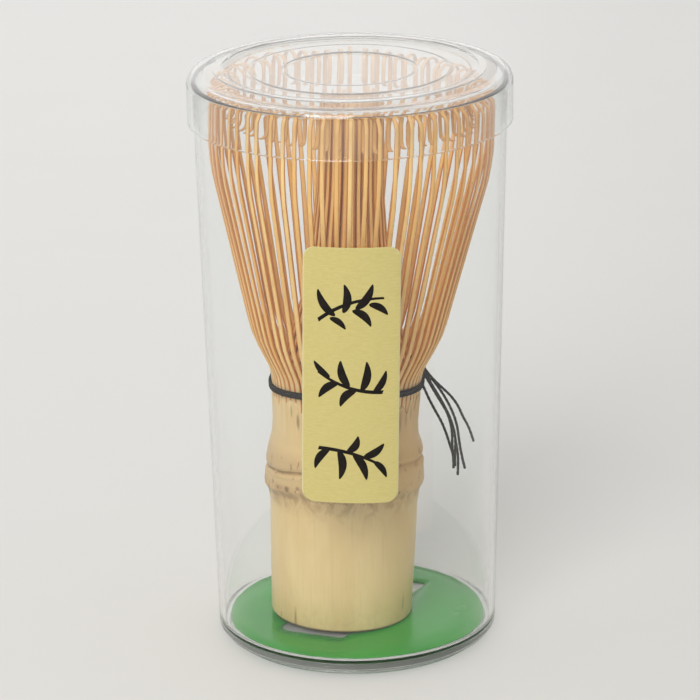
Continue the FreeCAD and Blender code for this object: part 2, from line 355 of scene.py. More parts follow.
def twisted(line, thick, twist, away, closed=True, count=12):
    """A two-ply thread along a line: the section's radius is thick * (0.80 + 0.20 |cos(a - turn)|),
    where turn grows by a full turn every twist millimetres. The angle a starts from the part of
    away that is square to the line."""
    if closed:
        ahead, behind = np.roll(line, -1, 0), np.roll(line, 1, 0)
    else:
        ahead = np.concatenate([line[1:], line[-1:] * 2 - line[-2:-1]])
        behind = np.concatenate([line[:1] * 2 - line[1:2], line[:-1]])
    tangent = ahead - behind
    tangent /= np.linalg.norm(tangent, axis=1)[:, None]
    away = away - tangent * (away * tangent).sum(1)[:, None]
    away /= np.linalg.norm(away, axis=1)[:, None]
    side = np.cross(tangent, away)
    a = circle(count)
    turn = arc_lengths(line)[:, None] * (2 * math.pi / twist)
    radius = thick * (0.80 + 0.20 * abs(np.cos(a - turn)))[..., None]
    ring = line[:, None] + radius * (away[:, None] * np.cos(a)[None, :, None]
                                     + side[:, None] * np.sin(a)[None, :, None])
    rows = len(line)
    faces = quads(rows, count, closed)
    if not closed:
        faces += end_faces(rows, count)
    return ring.reshape(-1, 3), faces


def lathe(profile, bend=None):
    """A profile (radius, height) carried round the Z axis: x = r cos a, y = r sin a, z = height.

    bend may change the grids of radius and height before they are placed. The profile starts and
    ends on the axis, and is closed there by one point and a fan.
    """
    angle = circle(AROUND)
    radius = np.repeat(profile[1:-1, :1], AROUND, 1)
    height = np.repeat(profile[1:-1, 1:], AROUND, 1)
    if bend:
        radius, height = bend(radius, height, angle[None, :])
    rows = len(radius)
    ring = np.stack([radius * np.cos(angle), radius * np.sin(angle), height], -1).reshape(-1, 3)
    poles = np.array([[0, 0, profile[0, 1]], [0, 0, profile[-1, 1]]])
    c = np.arange(AROUND)
    beside = (c + 1) % AROUND
    end = (rows - 1) * AROUND
    first, last = np.full(AROUND, rows * AROUND), np.full(AROUND, rows * AROUND + 1)
    faces = quads(rows, AROUND)
    faces += np.stack([first, beside, c], 1).tolist()
    faces += np.stack([last, end + c, end + beside], 1).tolist()
    return np.concatenate([ring, poles]), faces


def stand(points):
    """Whisk points put in the case: turned about +Y by the lean, then moved to the foot's place."""
    x, z = turned(points[..., 0], points[..., 2], -WHISK_LEAN)
    return np.stack([x + WHISK_FOOT_X, points[..., 1], z + WHISK_FOOT_Z], -1)


def tube_radius(z):
    """Outer radius of the tapered case wall at a height."""
    return TUBE_FOOT_R + (TUBE_MOUTH_R - TUBE_FOOT_R) * (z - TAPER_LOW) / (TUBE_H - TAPER_LOW)


# ---- the case: every profile corner is (radius, height, radius of its arc) ----
def clear_tube():
    """The case's moulding: tapered wall, rounded bottom corner, foot ring and raised floor."""
    floor_in = tube_radius(FLOOR_Z) - TUBE_WALL
    profile, _ = rounded([
        (0, FLOOR_UNDER, 0),
        (FOOT_RING_IN, FLOOR_UNDER, 0.4),
        (FOOT_RING_IN + 0.3, 0, 0.35),
        (FOOT_RING_OUT, 0, 0.4),
        (FOOT_RING_OUT + 0.2, FOOT_RING_DROP, 0.3),
        (tube_radius(FOOT_RING_DROP), FOOT_RING_DROP, TUBE_CORNER),
        (TUBE_MOUTH_R, TUBE_H, 0.35),
        (TUBE_MOUTH_R - TUBE_WALL, TUBE_H, 0.35),
        (floor_in, FLOOR_Z, 1.0),
        (0, FLOOR_Z, 0),
    ])
    return make_piece("clear_tube", *lathe(profile), "case", "clear_case", ["case_tube"])


def clear_lid():
    """The push-on cap: skirt, rounded shoulder, raised rim and stepped panel, all one thickness."""
    rim_h = LID_RIM_Z - LID_PANEL_Z
    panel = [
        (LID_RIM_R + 2.6, 0, 1.5),
        (LID_RIM_R + 0.3, rim_h, 0.9),
        (LID_RIM_R - 1.2, rim_h, 0.9),
        (LID_RIM_R - 2.9, 0, 0.9),
        (LID_STEP_R + 0.6, 0, 0.8),
        (LID_STEP_R - 0.2, LID_STEP_H, 0.8),
        (LID_BUTTON_R + 0.8, LID_STEP_H, 0.8),
        (LID_BUTTON_R, 0, 0.8),
        (0, 0, 0),
    ]
    over = [(r, LID_PANEL_Z + z, arc) for r, z, arc in panel]
    under = [(r, LID_PANEL_Z - LID_T + z, arc) for r, z, arc in panel[::-1]]
    skirt_in = LID_R - LID_T
    profile, _ = rounded(under + [
        (skirt_in, LID_PANEL_Z - LID_T - 0.1, LID_SHOULDER - LID_T),
        (skirt_in, LID_SKIRT_Z, 0.2),
        (LID_R, LID_SKIRT_Z, 0.3),
        (LID_R, LID_PANEL_Z - 0.1, LID_SHOULDER),
    ] + over)
    return make_piece("clear_lid", *lathe(profile), "lid", "clear_case", ["case_lid"])


def floor_card():
    """The card disc: a band between its round edge and its window, closed over the two cut edges.

    Every ring of the band is inner + (outer - inner) * share, and the round edge wanders by up to
    0.15 mm.
    """
    line, _ = rounded(WINDOW_CORNERS, closed=True)
    loop = np.concatenate([line, line[:1]])
    steps = arc_lengths(loop)
    even = np.linspace(0, steps[-1], WINDOW_POINTS, endpoint=False)
    at = np.unique(np.concatenate([steps[:-1], even]))
    inner = np.stack([np.interp(at, steps, loop[:, 0]), np.interp(at, steps, loop[:, 1])], -1)
    angle = np.arctan2(inner[:, 1], inner[:, 0])
    wander = 0.10 * np.sin(5 * angle + 1) * np.sin(9 * angle) + 0.05 * np.sin(31 * angle)
    edge = CARD_R - CARD_TRIM + wander
    outer = np.stack([np.cos(angle), np.sin(angle)], -1) * edge[:, None]
    low, high = FLOOR_Z, FLOOR_Z + CARD_T
    low_edge, high_edge = low + CARD_EDGE, high - CARD_EDGE
    rings = [(0.33, low), (0.66, low), (0.996, low), (1, low_edge), (1, high_edge), (0.996, high),
             (0.66, high), (0.33, high), (0.004, high), (0, high_edge), (0, low_edge), (0.004, low)]
    rows = []
    for share, height in rings:
        flat = inner + (outer - inner) * share
        x, y = turned(flat[:, 0], flat[:, 1], WINDOW_TURN)
        rows.append(np.stack([x, y, np.full(len(x), height)], -1))
    faces = quads(len(rows), len(angle), closed=True)
    return make_piece("floor_card", np.concatenate(rows), faces, "case", "green_card",
                      ["base_card"])


def on_wall(u, v, lift):
    """Label coordinates (across, up) and a height over the wall, put on the front of the case."""
    x, z = turned(u, v, -LABEL_TILT)
    x, z = x + LABEL_X, z + (LABEL_LOW + LABEL_HIGH) / 2
    return np.stack([x, -np.sqrt((tube_radius(z) + lift) ** 2 - x * x), z], -1)


def slab(u, v, top, under):
    """A thin closed sheet on the case's wall, from grids of label coordinates, rows going up.

    Each row is a ring: along the outer face from left to right, and back along the inner face. The
    first and last rings are closed by a strip of quads.
    """
    rows, cols = u.shape
    outer = on_wall(u, v, top)
    inner = on_wall(u[:, ::-1], v[:, ::-1], under)
    points = np.concatenate([outer, inner], 1)
    faces = quads(rows, 2 * cols)
    c = np.arange(cols - 1)
    back = 2 * cols - 1 - c
    faces += np.stack([c, back, back - 1, c + 1], 1).tolist()
    end = (rows - 1) * 2 * cols
    faces += np.stack([end + c, end + c + 1, end + back - 1, end + back], 1).tolist()
    return points.reshape(-1, 3), faces


def gold_label():
    """The label: rows up the wall, each as wide as the rounded outline there. rim marks its edge."""
    half_w, half_h = LABEL_W / 2, (LABEL_HIGH - LABEL_LOW) / 2
    rise = half_h - LABEL_CORNER + LABEL_CORNER * np.sin(np.linspace(0, math.pi / 2, 10))
    v = np.concatenate([-rise[::-1], np.linspace(-rise[0], rise[0], 24)[1:-1], rise])
    over = np.clip(abs(v) - (half_h - LABEL_CORNER), 0, LABEL_CORNER)
    half = half_w - LABEL_CORNER + np.sqrt(LABEL_CORNER ** 2 - over ** 2)
    across = np.linspace(-1, 1, LABEL_COLS)
    up = np.repeat(v[:, None], LABEL_COLS, 1)
    points, faces = slab(half[:, None] * across, up, LABEL_T, 0.0)
    rim = np.zeros((len(v), 2 * LABEL_COLS))
    rim[:, [0, LABEL_COLS - 1, LABEL_COLS, -1]] = 1
    rim[[0, -1]] = 1
    return make_piece("gold_label", points, faces, "case", "gold_label", ["front_label"],
                      {"rim": rim})


# Each sprig: the height of its middle, 1 or -1 for mirrored, and its strokes, a twig and leaves
# (root across, root up, tip across, tip up, half width, bow), in mm from the middle. A leaf is
# fullest two fifths of the way along and comes to a point.
SPRIGS = [
    (15.4, 1, [(-6.8, -3.2, 6.6, 1.6, 0.34, 1.4), (-3.4, -2.2, -6.9, 3.4, 1.0, 0.7),
               (-1.6, -1.5, -1.5, 4.6, 1.05, -0.7), (0.9, -0.7, 4.3, 4.6, 1.05, -0.6),
               (0.2, -0.9, 4.0, -4.4, 1.0, 0.7), (3.6, 0.4, 7.4, -2.0, 0.9, 0.5),
               (-4.4, -2.6, -1.2, -5.0, 0.8, 0.4)]),
    (-1.4, -1, [(-6.6, -2.0, 6.8, 2.4, 0.34, -1.2), (-4.6, -2.2, -7.2, 2.6, 0.9, 0.5),
                (-2.2, -1.6, -3.2, 4.7, 1.05, 0.6), (0.4, -0.8, 2.2, 4.9, 1.05, -0.6),
                (-1.0, -1.4, 2.2, -5.0, 1.05, 0.7), (2.6, 0.2, 6.6, -3.2, 1.0, 0.6),
                (4.4, 1.2, 7.6, 4.6, 0.8, -0.3)]),
    (-18.0, 1, [(-6.6, 2.2, 6.8, -1.8, 0.34, 1.0), (-4.4, 2.1, -7.3, -2.4, 0.95, -0.6),
                (-2.4, 1.9, -2.2, -4.5, 1.05, 0.7), (0.6, 1.2, 3.4, -4.6, 1.05, 0.6),
                (-0.6, 1.5, 1.6, 5.0, 1.0, -0.6), (2.8, 0.4, 6.9, 3.2, 1.0, -0.5),
                (4.9, -0.6, 7.5, -4.2, 0.8, 0.4)]),
]


def ink_sprigs():
    """Three brushed bamboo sprigs. A stroke's middle line bows from root to tip. At a share s of
    the way its half width is w * (0.12 + 1.9 s^0.6 (1 - s)^0.85) for a leaf, and
    w * (1.25 - 0.5 s) for a twig."""
    s = np.linspace(0, 1, 20)[:, None]
    leaf, twig = 0.12 + 1.9 * s ** 0.6 * (1 - s) ** 0.85, 1.25 - 0.5 * s
    across = np.linspace(-1, 1, 5)
    blocks = []
    for middle, mirror, strokes in SPRIGS:
        for x0, y0, x1, y1, width, bow in strokes:
            along = np.array([x1 - x0, y1 - y0]) * (mirror, 1)
            side = unit(np.array([-along[1], along[0]]))
            line = np.array([x0 * mirror, y0]) + along * s + side * (bow * mirror * 4 * s * (1 - s))
            half = np.maximum(width * (leaf if width > TWIG_HALF_W else twig), 0.05)
            u = line[:, :1] - side[0] * half * across
            v = line[:, 1:] - side[1] * half * across
            blocks.append(slab(u, v + middle, LABEL_T + INK_T, LABEL_T - INK_T))
    return make_piece("ink_sprigs", *joined(blocks), "case", "gold_label", [])


# ---- the whisk ----
# Where the slit on each side of every outer tine starts, above the split.
slit_draw = random.Random(5)
SLITS = np.array([slit_draw.uniform(1.2, 4.6) for _ in range(TINES)])


def crown(angle):
    """How far the culm's skin reaches above the split: each slit's start at its own angle, and a
    smooth line from one slit to the next between them."""
    place = (angle / PITCH - 0.5) % TINES
    first = np.floor(place).astype(int) % TINES
    share = smooth(place - np.floor(place))
    return SLITS[first] * (1 - share) + SLITS[(first + 1) % TINES] * share


def culm():
    """The handle: the culm's skin, its foot, the hollow below the web and the one above it.

    Out of round by a tenth: r + 0.09 cos(2a + 0.6) + 0.05 cos(3a + 2). The node's ridge and the
    groove above it rise and fall with the angle, a lift that fades as a bell above and below them.
    The groove is cut 0.3 mm deep, dents pit the scar under it, a fine crack runs 6 mm up from the
    foot, and a lip of 0.15 mm at the split covers the roots of the tines.
    """
    profile, _ = rounded([
        (0, NODE_Z - 3.4, 0),
        (10.6, NODE_Z - 4.4, 2.5),
        (11.3, 0, 0.4),
        (FOOT_R, 0, 0.35),
        (15.62, 16.0, 30),
        (15.78, NODE_Z - 5.8, 4),
        (16.25, NODE_Z - 3.0, 1.2),
        (17.10, NODE_Z - 1.6, 0.8),
        (17.00, NODE_Z + 0.6, 1.5),
        (16.85, NODE_Z + 3.2, 0.6),
        (16.40, NODE_Z + 4.3, 0.6),
        (16.90, NODE_Z + 5.6, 0.8),
        (16.60, NODE_Z + 6.8, 1.5),
        (15.65, NODE_Z + 9.6, 5),
        (15.50, NODE_Z + 13.0, 10),
        (SPLIT_R, SPLIT_Z, 0),
        (13.4, SPLIT_Z, 0),
        (11.6, NODE_Z + 6.0, 8),
        (11.0, NODE_Z + 0.3, 1.5),
        (0, NODE_Z - 0.4, 0),
    ], arc_step=0.12)
    dense = [profile[:1]]
    for a, b in zip(profile, profile[1:]):
        fine = 0.2 if a[0] > 14 and NODE_Z - 3.5 < a[1] < NODE_Z + 6.5 else 0.9
        parts = max(1, int(np.linalg.norm(b - a) / fine))
        dense.append(a + (b - a) * (np.arange(1, parts + 1) / parts)[:, None])
    profile = np.concatenate(dense)
    outside = np.zeros(len(profile))
    foot = int(np.argmin(profile[:, 1] + 100 * (profile[:, 0] < 14)))
    top = int(np.argmin(abs(profile[:, 0] - SPLIT_R) + abs(profile[:, 1] - SPLIT_Z)))
    outside[foot:top + 1] = 1.0
    skin = outside[1:-1, None]

    def bend(radius, height, angle):
        cos, sin, over = np.cos(angle), np.sin(angle), height - NODE_Z
        left, front = np.clip(-cos, 0, 1), np.clip(-sin, 0, 1)
        wave = 0.16 * np.sin(5 * angle + 0.4) + 0.10 * np.sin(9 * angle + 2)
        groove = 1.45 * cos - 2.0 * sin - 0.95 + wave
        ridge = (0.6 - 0.75 * sin + 0.3 * cos + wave
                 + 0.4 * left - 0.7 * left ** 4 + 1.1 * front ** 3)
        lift = groove * bell(over, 4.6, 3.0) + ridge * bell(over, -1.8, 2.4)
        rise = smooth((height - (SPLIT_Z - 3)) / 3) * crown(angle)
        oval = 0.09 * np.cos(2 * angle + 0.6) + 0.05 * np.cos(3 * angle + 2)
        knobs = 0.5 + 0.5 * np.sin(4 * angle + 0.8) * np.sin(7 * angle + 1.9)
        pits = np.sin(31 * angle + 3 * np.sin(5 * angle)) * np.sin(19 * angle + 1)
        pits = np.clip(pits - 0.15, 0, 1) * (0.25 + 0.75 * np.clip(np.cos(angle + 2.4), 0, 1))
        crack = bell(angle % (2 * math.pi), FOOT_CRACK, 0.012) * smooth((6.0 - height) / 3)
        lip = 0.02 + 0.15 * smooth((height - (SPLIT_Z - 4)) / 4) + 0.08 * smooth(rise / 4)
        cuts = (0.20 * knobs * bell(over, 5.8, 1.2) + 0.30 * bell(over, 4.3, 0.35)
                + 0.42 * pits * bell(over, -0.9, 1.0) + 0.25 * crack)
        out = oval + lip - cuts + 0.12 * bell(over, 3.3, 0.5)
        return radius + skin * out, height + skin * lift + rise

    points, faces = lathe(profile, bend)
    height, cover = (np.concatenate([np.repeat(values[1:-1], AROUND), [0, 0]])
                     for values in (profile[:, 1], outside))
    return make_piece("culm_handle", stand(points), faces, "whisk", "bamboo_culm", ["handle"],
                      {"skin": cover, "height": height / 100})


def section(count, power):
    """A rounded rectangle of half sides 1 and 1: |cos a|^p and |sin a|^p with their signs."""
    a = (np.arange(count) + 0.5) * (2 * math.pi / count)
    return tuple(np.sign(side) * abs(side) ** power for side in (np.cos(a), np.sin(a)))


def up_tine(z):
    """How far up a tine a height is, as a share of its run."""
    return (z - SPLIT_Z + 1) / TINE_RUN


def outer_width(z, r, slit):
    """An outer tine fills its pitch below its slit, and narrows evenly to its tip above it."""
    free = OUTER_ROOT_W + (OUTER_TIP_W - OUTER_ROOT_W) * up_tine(z)
    full = r * PITCH - TINE_GAP
    return full + (np.minimum(free, full) - full) * smooth((z - SPLIT_Z - slit + 0.6) / 3.0)


def inner_width(z, r):
    return INNER_ROOT_W + (INNER_TIP_W - INNER_ROOT_W) * up_tine(z)


def strip(stations, width, sway, azimuth, marks):
    """A bamboo strip carried along a rounded line of stations (radius, height, half thickness,
    radius of the bend).

    Each ring is centre + n * half * a + l * (sway + width / 2 * b), with n square to the line in
    its upright plane, l sideways, and (a, b) round the section. The sway grows from root to tip.
    marks are arc lengths as shares of the line. Returns the rings, and for each point how far it
    is on a flank, b^2 * (1 - 0.5 |a|), and how far along the strip.
    """
    line, owner = rounded([(r, z, bend) for r, z, _, bend in stations], arc_step=0.1, support=0.6)
    steps = arc_lengths(line)
    at = marks * steps[-1]
    r, z = np.interp(at, steps, line[:, 0]), np.interp(at, steps, line[:, 1])
    thick = [station[2] for station in stations]
    half = np.interp(np.interp(at, steps, owner), np.arange(len(stations)), thick)
    along = np.stack([np.gradient(r, at), np.gradient(z, at)], -1)
    along /= np.linalg.norm(along, axis=1)[:, None]
    a, b = section(SECTION_POINTS, SECTION_POWER)
    out_r = r[:, None] + along[:, 1:] * half[:, None] * a
    out_z = z[:, None] - along[:, :1] * half[:, None] * a
    out_y = (sway * up_tine(z))[:, None] + width(z, r)[:, None] / 2 * b
    x, y = turned(out_r, out_y, azimuth)
    flank = np.broadcast_to(abs(b) ** 2 * (1 - 0.5 * abs(a)), out_r.shape)
    share = np.broadcast_to((at / steps[-1])[:, None], out_r.shape)
    return np.stack([x, y, out_z], -1), flank, share


def bundle(name, strips, nodes, tones):
    """Several strips in one piece: rings of points joined in tubes, with an end face each. The mesh
    carries each point's flank and place along its strip, and each strip's tone."""
    blocks = [(ring.reshape(-1, 3), quads(*ring.shape[:2]) + end_faces(*ring.shape[:2]))
              for ring, _, _ in strips]
    points, faces = joined(blocks)
    values = {
        "flank": np.concatenate([flank.ravel() for _, flank, _ in strips]),
        "along": np.concatenate([share.ravel() for _, _, share in strips]),
        "tone": np.repeat(tones, [len(block) for block, _ in blocks]),
    }
    return make_piece(name, stand(points), faces, "whisk", "bamboo_tine", nodes, values)


def outer_stations(rise, curl, tuck):
    """Side of an outer tine: up from the split, out over the thread, a straight flare, then the
    curl."""
    top = TOP_Z + rise
    tip_r = HEAD_R - 2 * curl
    return [
        (15.2, SPLIT_Z, 0.40, 0),
        (15.45, 51.0, 0.38, 9),
        (16.05, 55.4, 0.36, 9),
        (20.25, 63.4, 0.33, 22),
        (28.9, 98.6, 0.27, 16),
        (HEAD_R, 104.0, 0.25, 14),
        (HEAD_R, top, 0.20, curl - 0.3),
        (tip_r, top, 0.16, curl - 0.3),
        (tip_r + 0.3 + tuck, top - CURL_DROP, 0.13, CURL_TIP_R),
        (tip_r + 2.1 + tuck, top - CURL_DROP + 0.2, 0.12, 0),
    ]


def inner_stations(rise, layer):
    """Side of an inner tine: up past the thread, in to the middle, then up in the bundle."""
    inset = layer * LAYER_STEP
    return [
        (13.95, SPLIT_Z, 0.30, 0),
        (13.95, 54.0, 0.30, 14),
        (8.6 - inset, 75.0, 0.27, 16),
        (6.9 - inset, 95.0, 0.22, 40),
        (6.6 - 0.8 * inset, TOP_Z - 3.0 + rise, 0.15, 0),
    ]


def whisk_head():
    """All tines, in the same draws as the CAD's, one outer and one inner piece for each splint."""
    draw, tint = random.Random(11), random.Random(3)
    outer_marks = np.concatenate([np.linspace(0, 0.14, 9), np.linspace(0.14, 0.72, 16)[1:],
                                  np.linspace(0.72, 1, 26)[1:]])
    inner_marks = np.linspace(0, 1, 28)
    pieces = []
    for splint in range(SPLINTS):
        outer, inner = [], []
        for number in range(splint * TINES_EACH, (splint + 1) * TINES_EACH):
            azimuth = number * PITCH
            rise = draw.uniform(-0.5, 0.5)
            curl = draw.uniform(CURL_LEAST_R, CURL_R)
            tuck = draw.uniform(-0.25, 0.35)
            sway = draw.uniform(-0.45, 0.45)
            inner_rise = draw.uniform(-1.5, 1.0)
            slit = (SLITS[number] + SLITS[number - 1]) / 2
            outer.append(strip(outer_stations(rise, curl, tuck),
                               lambda z, r: outer_width(z, r, slit), sway, azimuth, outer_marks))
            inner.append(strip(inner_stations(inner_rise, number % 2), inner_width, 0.0,
                               azimuth + PITCH / 2, inner_marks))
        tones = [tint.random() for _ in range(2 * TINES_EACH)]
        for side, strips, shades in (("outer", outer, tones[:TINES_EACH]),
                                     ("inner", inner, tones[TINES_EACH:])):
            pieces.append(bundle(f"{side}_splint_{splint + 1:02d}", strips,
                                 [f"{side}_tines_{splint + 1:02d}"], shades))
    return pieces


# ---- the thread ----
def hoop(radius, z, rows, wave=0.0, lobes=1, sag=0.0):
    """A ring round the whisk. Its radius ripples with the tines that it crosses, and it sags at
    the sides by sag * (|cos a|^3 - 0.3 cos a), closing in by 0.15 of that where the head is
    narrower."""
    a = circle(rows)
    drop = sag * (abs(np.cos(a)) ** 3 - 0.3 * np.cos(a))
    r = radius + wave * np.cos(lobes * a) - 0.15 * drop
    return np.stack([r * np.cos(a), r * np.sin(a), z - drop], -1)


def thread_pieces():
    """The two rounds of binding, the woven round, and the knot, which is a trefoil of thread."""
    girth = 2 * math.pi * BINDING_R
    rounds = []
    for k in (0, 1):
        z = BAND_Z + (k - 0.5) * (THREAD_D + THREAD_GAP)
        line = hoop(BINDING_R + 0.06 * k, z, BINDING_POINTS, BAND_RIPPLE, TINES, BAND_SAG)
        rounds.append(twisted(line, THREAD_PLY_R, girth / round(girth / THREAD_LAY), line))
    points, faces = joined(rounds)
    binding = make_piece("thread_binding", stand(points), faces, "whisk", "black_thread",
                         ["binding_thread"])
    line = hoop(WEAVE_R, WEAVE_Z, WEAVE_POINTS)
    points, faces = twisted(line, WEAVE_D / 2, 2 * math.pi * WEAVE_R / WEAVE_TURNS, line)
    weave = make_piece("thread_weave", stand(points), faces, "whisk", "black_thread",
                       ["weave_thread"])
    t = circle(KNOT_POINTS)
    trefoil = np.stack([np.sin(t) + 2 * np.sin(2 * t), np.cos(t) - 2 * np.cos(2 * t),
                        -1.6 * np.sin(3 * t)], -1)
    line = trefoil * ((KNOT_R - KNOT_PLY_R - 0.02) / TREFOIL_R) + KNOT
    knot = make_piece("thread_knot_tied", *twisted(line, KNOT_PLY_R, KNOT_TWIST, trefoil), "whisk",
                      "black_thread", ["thread_knot"])
    return [binding, weave, knot]


# ---- finishes ----
class Wire:
    """A node's output that does sums: each operator adds one Math node to the finish."""

    def __init__(self, finish, socket):
        self.finish = finish
        self.socket = socket

    def sum(self, operation, *terms):
        return self.finish.add("ShaderNodeMath", {"operation": operation}, dict(enumerate(terms)))

    def __add__(self, other):
        return self.sum("ADD", self, other)

    def __mul__(self, other):
        return self.sum("MULTIPLY", self, other)

    def __pow__(self, other):
        return self.sum("POWER", self, other)

    def __rsub__(self, other):
        return self.sum("SUBTRACT", other, self)

    def step(self, low, high):
        """0 below low, 1 above high, smooth between. With low above high it is turned round."""
        return self.finish.add("ShaderNodeMapRange", {"interpolation_type": "SMOOTHSTEP"},
                               {"Value": self, "From Min": low, "From Max": high})


class Finish:
    """One material: a Principled shader, and a method that adds every other node."""

    def __init__(self, name, **fixed):
        self.material = bpy.data.materials.new(name)
        self.material.use_nodes = True
        self.tree = self.material.node_tree
        self.tree.nodes.clear()
        self.shader = self.tree.nodes.new("ShaderNodeBsdfPrincipled")
        self.output = self.tree.nodes.new("ShaderNodeOutputMaterial")
        self.tree.links.new(self.shader.outputs[0], self.output.inputs["Surface"])
        for key, value in fixed.items():
            self.shader.inputs[key.replace("_", " ")].default_value = value

    def add(self, kind, settings=None, sockets=None, give=0):
        """A node of a kind: its settings, then its sockets' values or links. Returns one output."""
        node = self.tree.nodes.new(kind)
        for key, value in (settings or {}).items():
            setattr(node, key, value)
        for key, value in (sockets or {}).items():
            self.feed(node.inputs[key], value)
        return Wire(self, node.outputs[give])

    def feed(self, socket, value):
        """Links a wire to a socket, or sets the socket's own value."""
        if isinstance(value, Wire):
            self.tree.links.new(value.socket, socket)
        elif socket.type == "RGBA":
            socket.default_value = (*value, 1)
        else:
            socket.default_value = value

    def place(self, scale=(1, 1, 1)):
        """Object coordinates, stretched."""
        spot = self.add("ShaderNodeTexCoord", give="Object")
        return self.add("ShaderNodeMapping", {}, {"Vector": spot, "Scale": scale})

    def spot(self, axis):
        """One of the object coordinates, in metres."""
        place = self.add("ShaderNodeTexCoord", give="Object")
        return self.add("ShaderNodeSeparateXYZ", {}, {0: place}, give=axis)

    def near(self, place, size, long=1):
        """1 at a place in millimetres, falling to 0 at a distance of size, and upright at long
        times that."""
        here = self.place((1, 1, 1 / long))
        spot = tuple(float(v) * MM * share for v, share in zip(place, (1, 1, 1 / long)))
        gap = self.add("ShaderNodeVectorMath", {"operation": "DISTANCE"}, {0: here, 1: spot},
                       give="Value")
        return gap.step(size * MM, size * 0.35 * MM)

    def value(self, name):
        """A number that the mesh carries."""
        return self.add("ShaderNodeAttribute", {"attribute_name": name}, give="Fac")

    def noise(self, spot, scale, detail=4.0, rough=0.5, bent=0.0):
        return self.add("ShaderNodeTexNoise", {}, {"Vector": spot, "Scale": scale, "Detail": detail,
                                                   "Roughness": rough, "Distortion": bent})

    def mix(self, share, a, b):
        """Colour a turned into colour b by a share."""
        return self.add("ShaderNodeMix", {"data_type": "RGBA"}, {0: share, 6: a, 7: b}, give=2)

    def layers(self, colour, *coats):
        """A colour under coats (share, colour), each mixed over the ones before it."""
        for share, coat in coats:
            colour = self.mix(share, colour, coat)
        return colour

    def bump(self, height, strength, distance):
        return self.add("ShaderNodeBump", {}, {"Height": height, "Strength": strength,
                                               "Distance": distance})

    def blend(self, share, a, b):
        """Shader a turned into shader b by a share."""
        return self.add("ShaderNodeMixShader", {}, {0: share, 1: a, 2: b})

    def wear(self, **parts):
        """Links what varies to the shader's sockets."""
        for key, value in parts.items():
            self.feed(self.shader.inputs[key.replace("_", " ")], value)
        return self.material


# Where the clear moulding is cloudy, in metres: the floor over the foot, and the lip of the tube.
CLOUDY_FLOOR_Z = (0.0042, 0.0036)
CLOUDY_FLOOR_R = (0.0267, 0.0262)
CLOUDY_LIP_Z = (0.1228, 0.1238)


def clear_plastic():
    """Clear moulding: polished, with a faint cloud in its gloss, and milky in the floor and the
    lip. Rays from lamps go straight through."""
    finish = Finish("clear_polished_moulding", Base_Color=(0.985, 0.99, 0.988, 1), IOR=1.46,
                    Transmission_Weight=1.0)
    cloud = finish.noise(finish.place(), 45.0, 3.0)
    up = finish.spot("Z")
    square = finish.spot("X") ** 2.0 + finish.spot("Y") ** 2.0
    floor = up.step(*CLOUDY_FLOOR_Z) * square.step(*(r * r for r in CLOUDY_FLOOR_R))
    finish.wear(Roughness=cloud.step(0.45, 0.75) * 0.03 + 0.012 + floor * 0.12)
    milk = finish.add("ShaderNodeBsdfDiffuse", {}, {0: (0.72, 0.72, 0.71)})
    body = finish.blend(floor * 0.26 + up.step(*CLOUDY_LIP_Z) * 0.16,
                        Wire(finish, finish.shader.outputs[0]), milk)
    lamp = finish.add("ShaderNodeLightPath", give="Is Shadow Ray")
    bounce = finish.add("ShaderNodeLightPath", give="Is Diffuse Ray")
    opening = finish.add("ShaderNodeBsdfTransparent", {}, {0: (0.97, 0.975, 0.97)})
    whole = finish.blend(lamp.sum("MAXIMUM", lamp, bounce), body, opening)
    finish.feed(finish.output.inputs["Surface"], whole)
    return finish.material


def green_paper():
    """Printed satin card: even green with a fine tooth and slight clouds."""
    finish = Finish("green_satin_card", IOR=1.36)
    tooth = finish.noise(finish.place(), 2600.0, 2.0)
    cloud = finish.noise(finish.place(), 70.0, 4.0)
    colour = finish.layers((0.020, 0.265, 0.022),
                           (cloud.step(0.3, 0.7), (0.028, 0.305, 0.030)),
                           (tooth.step(0.55, 0.8) * 0.25, (0.09, 0.36, 0.09)))
    return finish.wear(Base_Color=colour, Roughness=cloud * 0.10 + 0.20,
                       Normal=finish.bump(tooth, 0.12, 0.0001))


def gold_paper():
    """Satin gold label paper with fine cross brushing and a brighter cut edge."""
    finish = Finish("gold_satin_label", IOR=1.45)
    brush = finish.noise(finish.place((700, 700, 9000)), 1.0, 2.0)
    fleck = finish.noise(finish.place(), 1500.0, 3.0)
    colour = finish.layers((0.610, 0.520, 0.188),
                           (brush.step(0.35, 0.65), (0.660, 0.568, 0.222)),
                           (fleck.step(0.5, 0.75) * 0.3, (0.70, 0.62, 0.29)),
                           (finish.value("rim").step(0.2, 0.9) * 0.7, (0.84, 0.78, 0.48)))
    return finish.wear(Base_Color=colour, Roughness=brush * 0.08 + 0.40,
                       Metallic=fleck.step(0.35, 0.7) * 0.18,
                       Normal=finish.bump(brush, 0.05, 0.0001))


def black_ink():
    """Dense printing ink, a little uneven."""
    finish = Finish("black_ink", IOR=1.3)
    grain = finish.noise(finish.place(), 900.0, 3.0)
    colour = finish.mix(grain.step(0.35, 0.8), (0.006, 0.004, 0.003), (0.016, 0.011, 0.008))
    return finish.wear(Base_Color=colour, Roughness=grain * 0.2 + 0.55)


